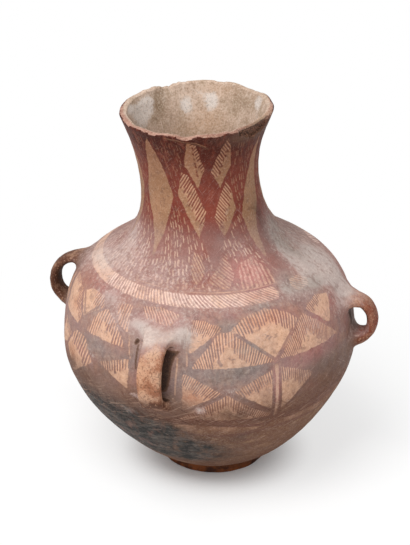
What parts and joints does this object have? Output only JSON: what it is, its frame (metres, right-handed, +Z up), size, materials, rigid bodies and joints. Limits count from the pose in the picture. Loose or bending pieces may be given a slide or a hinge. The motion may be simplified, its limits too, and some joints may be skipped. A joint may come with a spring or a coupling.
{
  "type": "handled jar",
  "caption": "Round-bodied clay jar with a tall flaring neck, a flat foot and upright strap handles round the body, for storing and pouring liquid.",
  "frame": {"origin": "centre of the underside of the foot, on the surface the jar stands on", "axes": "+Z up towards the mouth; -Y towards the front handle; +X towards the right handle and -X towards the left handle"},
  "size_m": [0.314, 0.2954, 0.355],
  "materials": {
    "foot_clay": "matt fired clay, worn dark red-brown slip",
    "body_clay": "matt burnished clay, ochre with painted red and grey-purple geometric bands",
    "neck_clay": "dark red slip with plain ochre lozenges, dull burnish",
    "rim_clay": "matt pinkish clay, worn and chipped lip",
    "handle_clay": "matt reddish clay, worn, pale deposit at the upper roots"
  },
  "bodies": {
    "root": {"foot_disc": "foot_clay", "lower_body": "body_clay", "upper_body": "body_clay", "neck": "neck_clay", "rim": "rim_clay", "handle_left": "handle_clay", "handle_right": "handle_clay", "handle_front": "handle_clay"}
  },
  "joints": []
}
